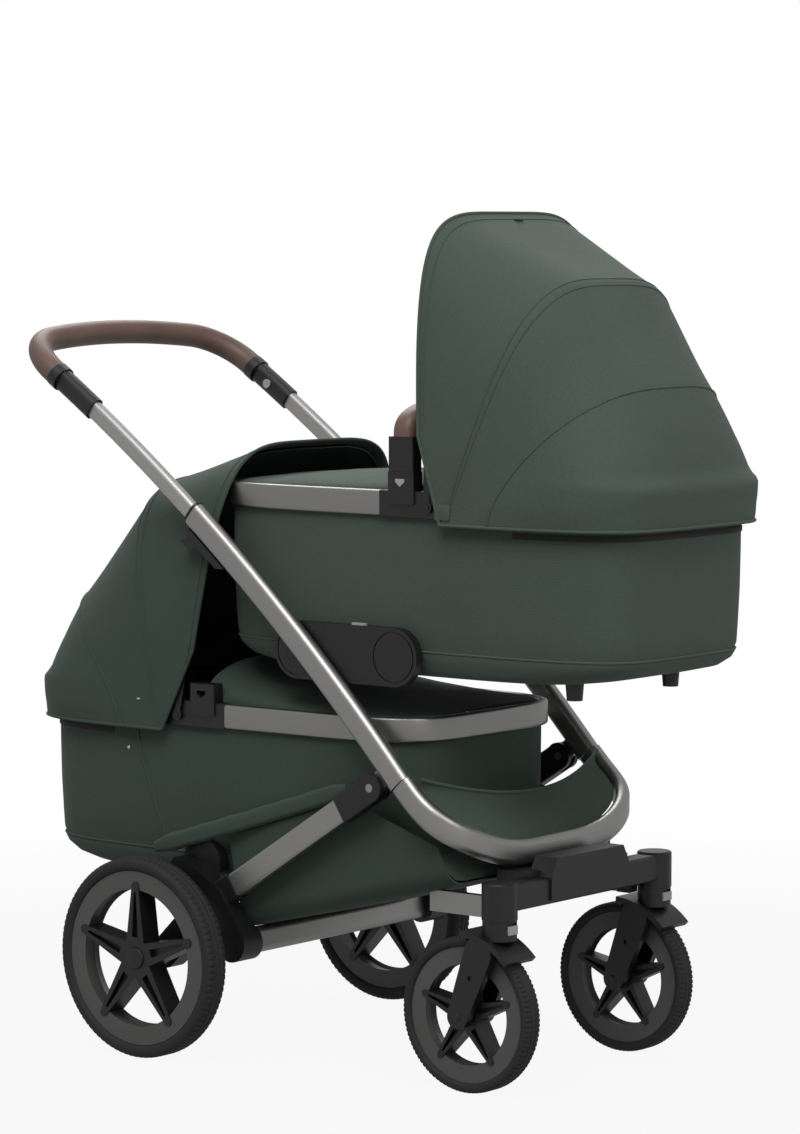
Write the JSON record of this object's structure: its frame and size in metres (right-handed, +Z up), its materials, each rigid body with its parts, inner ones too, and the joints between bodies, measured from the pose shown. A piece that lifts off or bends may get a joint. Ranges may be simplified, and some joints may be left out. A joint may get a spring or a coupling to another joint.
{
  "type": "twin pram",
  "caption": "twin pram with two carrycots, one above the other, on a folding chassis with a telescoping handlebar, shopping basket, swivel front wheels and folding hoods.",
  "frame": {"origin": "on the floor under the middle of the pram, halfway along its length and width", "axes": "+X forward to the swivel wheels, +Y to the left side, +Z up"},
  "size_m": [1.102, 0.61, 1.208],
  "materials": {
    "anodised_aluminium": "satin anodised grey",
    "bright_aluminium": "satin bright",
    "steel": "brushed",
    "black_plastic": "fine matte grain",
    "grey_plastic": "satin",
    "light_grey_plastic": "satin",
    "tyre_rubber": "ribbed tread",
    "brown_leather": "stitched, satin",
    "green_fabric": "plain weave",
    "pale_fabric": "soft cotton"
  },
  "bodies": {
    "frame": {"side_tubes": "anodised_aluminium", "front_loop": "anodised_aluminium", "hook_clips": "black_plastic", "front_beam": "black_plastic", "basket_arms": "anodised_aluminium", "footrest": "green_fabric", "basket": "green_fabric", "upper_adapters": "black_plastic"},
    "adapter_buttons": {"adapter_buttons": "light_grey_plastic"},
    "handle": {"handle_tube": "bright_aluminium", "handle_grip": "brown_leather", "handle_sleeves": "black_plastic"},
    "handle_button_left": {"handle_button_left": "light_grey_plastic"},
    "handle_button_right": {"handle_button_right": "light_grey_plastic"},
    "rear_legs": {"struts": "anodised_aluminium", "strut_sleeves": "black_plastic", "rear_brackets": "black_plastic", "rear_cross_bar": "anodised_aluminium", "rear_axles": "steel"},
    "brake_pedal": {"brake_pedal": "black_plastic"},
    "fork_left": {"fork_left": "black_plastic"},
    "fork_right": {"fork_right": "black_plastic"},
    "lock_tab_left": {"lock_tab_left": "light_grey_plastic"},
    "lock_tab_right": {"lock_tab_right": "light_grey_plastic"},
    "rear_wheel_left": {"rear_tyre_left": "tyre_rubber", "rear_rim_left": "grey_plastic", "rear_spider_left": "black_plastic"},
    "rear_wheel_right": {"rear_tyre_right": "tyre_rubber", "rear_rim_right": "grey_plastic", "rear_spider_right": "black_plastic"},
    "front_wheel_left": {"front_tyre_left": "tyre_rubber", "front_rim_left": "grey_plastic", "front_spider_left": "black_plastic"},
    "front_wheel_right": {"front_tyre_right": "tyre_rubber", "front_rim_right": "grey_plastic", "front_spider_right": "black_plastic"},
    "upper_cot": {"upper_tub": "green_fabric", "upper_rim": "anodised_aluminium", "upper_head_frame": "black_plastic", "upper_sockets": "black_plastic", "upper_feet": "black_plastic", "upper_hood": "green_fabric", "upper_apron": "green_fabric", "upper_mattress": "pale_fabric"},
    "upper_bow_front": {"upper_bow_front": "black_plastic"},
    "upper_bow_middle": {"upper_bow_middle": "black_plastic"},
    "lower_cot": {"lower_tub": "green_fabric", "lower_rim": "anodised_aluminium", "lower_head_frame": "black_plastic", "lower_sockets": "black_plastic", "lower_feet": "black_plastic", "lower_hood": "green_fabric", "lower_apron": "green_fabric", "lower_mattress": "pale_fabric"},
    "lower_bow_front": {"lower_bow_front": "black_plastic"},
    "lower_bow_middle": {"lower_bow_middle": "black_plastic"},
    "carry_handle": {"carry_posts": "black_plastic", "carry_grip": "brown_leather"},
    "carry_button_left": {"carry_button_left": "light_grey_plastic"},
    "carry_button_right": {"carry_button_right": "light_grey_plastic"}
  },
  "joints": [
    {"name": "rear_leg_fold", "type": "hinge", "parent": "frame", "child": "rear_legs", "pos_m": [0.15205, 0, 0.41627], "axis": [0, -1, 0], "range_deg": [0, 35], "deforming": ["basket"]},
    {"name": "handle_telescope", "type": "hinge", "parent": "frame", "child": "handle", "pos_m": [-2.26016, 0, -1.78702], "axis": [0, 1, 0], "range_deg": [0, 2.2]},
    {"name": "handle_button_left_press", "type": "slide", "parent": "handle", "child": "handle_button_left", "axis": [0, 1, 0], "range_m": [0, 0.0015], "stiffness_N_per_m": 400},
    {"name": "handle_button_right_press", "type": "slide", "parent": "handle", "child": "handle_button_right", "axis": [0, -1, 0], "range_m": [0, 0.0015], "stiffness_N_per_m": 400},
    {"name": "adapter_release", "type": "slide", "parent": "frame", "child": "adapter_buttons", "axis": [0, 0, -1], "range_m": [0, 0.0025], "stiffness_N_per_m": 400, "springref_m": -0.002},
    {"name": "rear_wheel_left_spin", "type": "hinge", "parent": "rear_legs", "child": "rear_wheel_left", "pos_m": [-0.225, 0.285, 0.145], "axis": [0, 1, 0], "continuous": true},
    {"name": "rear_wheel_right_spin", "type": "hinge", "parent": "rear_legs", "child": "rear_wheel_right", "pos_m": [-0.225, -0.285, 0.145], "axis": [0, 1, 0], "continuous": true},
    {"name": "brake_press", "type": "hinge", "parent": "rear_legs", "child": "brake_pedal", "pos_m": [-0.119, 0, 0.17], "axis": [0, -1, 0], "range_deg": [0, 18]},
    {"name": "caster_left_swivel", "type": "hinge", "parent": "frame", "child": "fork_left", "pos_m": [0.343, 0.185, 0.25], "axis": [0, 0, 1], "continuous": true},
    {"name": "lock_tab_left_slide", "type": "slide", "parent": "fork_left", "child": "lock_tab_left", "axis": [0, 0, 1], "range_m": [0, 0.004]},
    {"name": "front_wheel_left_spin", "type": "hinge", "parent": "fork_left", "child": "front_wheel_left", "pos_m": [0.294, 0.185, 0.109], "axis": [0, 1, 0], "continuous": true},
    {"name": "caster_right_swivel", "type": "hinge", "parent": "frame", "child": "fork_right", "pos_m": [0.343, -0.185, 0.25], "axis": [0, 0, 1], "continuous": true},
    {"name": "lock_tab_right_slide", "type": "slide", "parent": "fork_right", "child": "lock_tab_right", "axis": [0, 0, 1], "range_m": [0, 0.004]},
    {"name": "front_wheel_right_spin", "type": "hinge", "parent": "fork_right", "child": "front_wheel_right", "pos_m": [0.294, -0.185, 0.109], "axis": [0, 1, 0], "continuous": true},
    {"name": "upper_cot_lift", "type": "slide", "parent": "frame", "child": "upper_cot", "axis": [0.8988, 0, 0.4384], "range_m": [0, 0.2]},
    {"name": "lower_cot_lift", "type": "slide", "parent": "frame", "child": "lower_cot", "axis": [-0.9848, 0, 0.1736], "range_m": [0, 0.25]},
    {"name": "upper_hood_fold", "type": "hinge", "parent": "upper_cot", "child": "upper_bow_front", "pos_m": [0.23, 0, 0.808], "axis": [0, 1, 0], "range_deg": [0, 55], "deforming": ["upper_hood"]},
    {"name": "upper_hood_middle", "type": "hinge", "parent": "upper_cot", "child": "upper_bow_middle", "pos_m": [0.23, 0, 0.808], "axis": [0, 1, 0], "range_deg": [0, 36], "deforming": ["upper_hood"]},
    {"name": "lower_hood_fold", "type": "hinge", "parent": "lower_cot", "child": "lower_bow_front", "pos_m": [-0.23, 0, 0.488], "axis": [0, -1, 0], "range_deg": [0, 68], "deforming": ["lower_hood"]},
    {"name": "lower_hood_middle", "type": "hinge", "parent": "lower_cot", "child": "lower_bow_middle", "pos_m": [-0.23, 0, 0.488], "axis": [0, -1, 0], "range_deg": [0, 45], "deforming": ["lower_hood"]},
    {"name": "carry_handle_lift", "type": "slide", "parent": "upper_cot", "child": "carry_handle", "axis": [0, 0, 1], "range_m": [0, 0.06]},
    {"name": "carry_button_left_press", "type": "slide", "parent": "upper_cot", "child": "carry_button_left", "axis": [0, -1, 0], "range_m": [0, 0.002], "stiffness_N_per_m": 400},
    {"name": "carry_button_right_press", "type": "slide", "parent": "upper_cot", "child": "carry_button_right", "axis": [0, 1, 0], "range_m": [0, 0.002], "stiffness_N_per_m": 400}
  ],
  "couplings": [
    {"joint": "upper_hood_middle", "follows": "upper_hood_fold", "ratio": 0.65},
    {"joint": "lower_hood_middle", "follows": "lower_hood_fold", "ratio": 0.65}
  ]
}
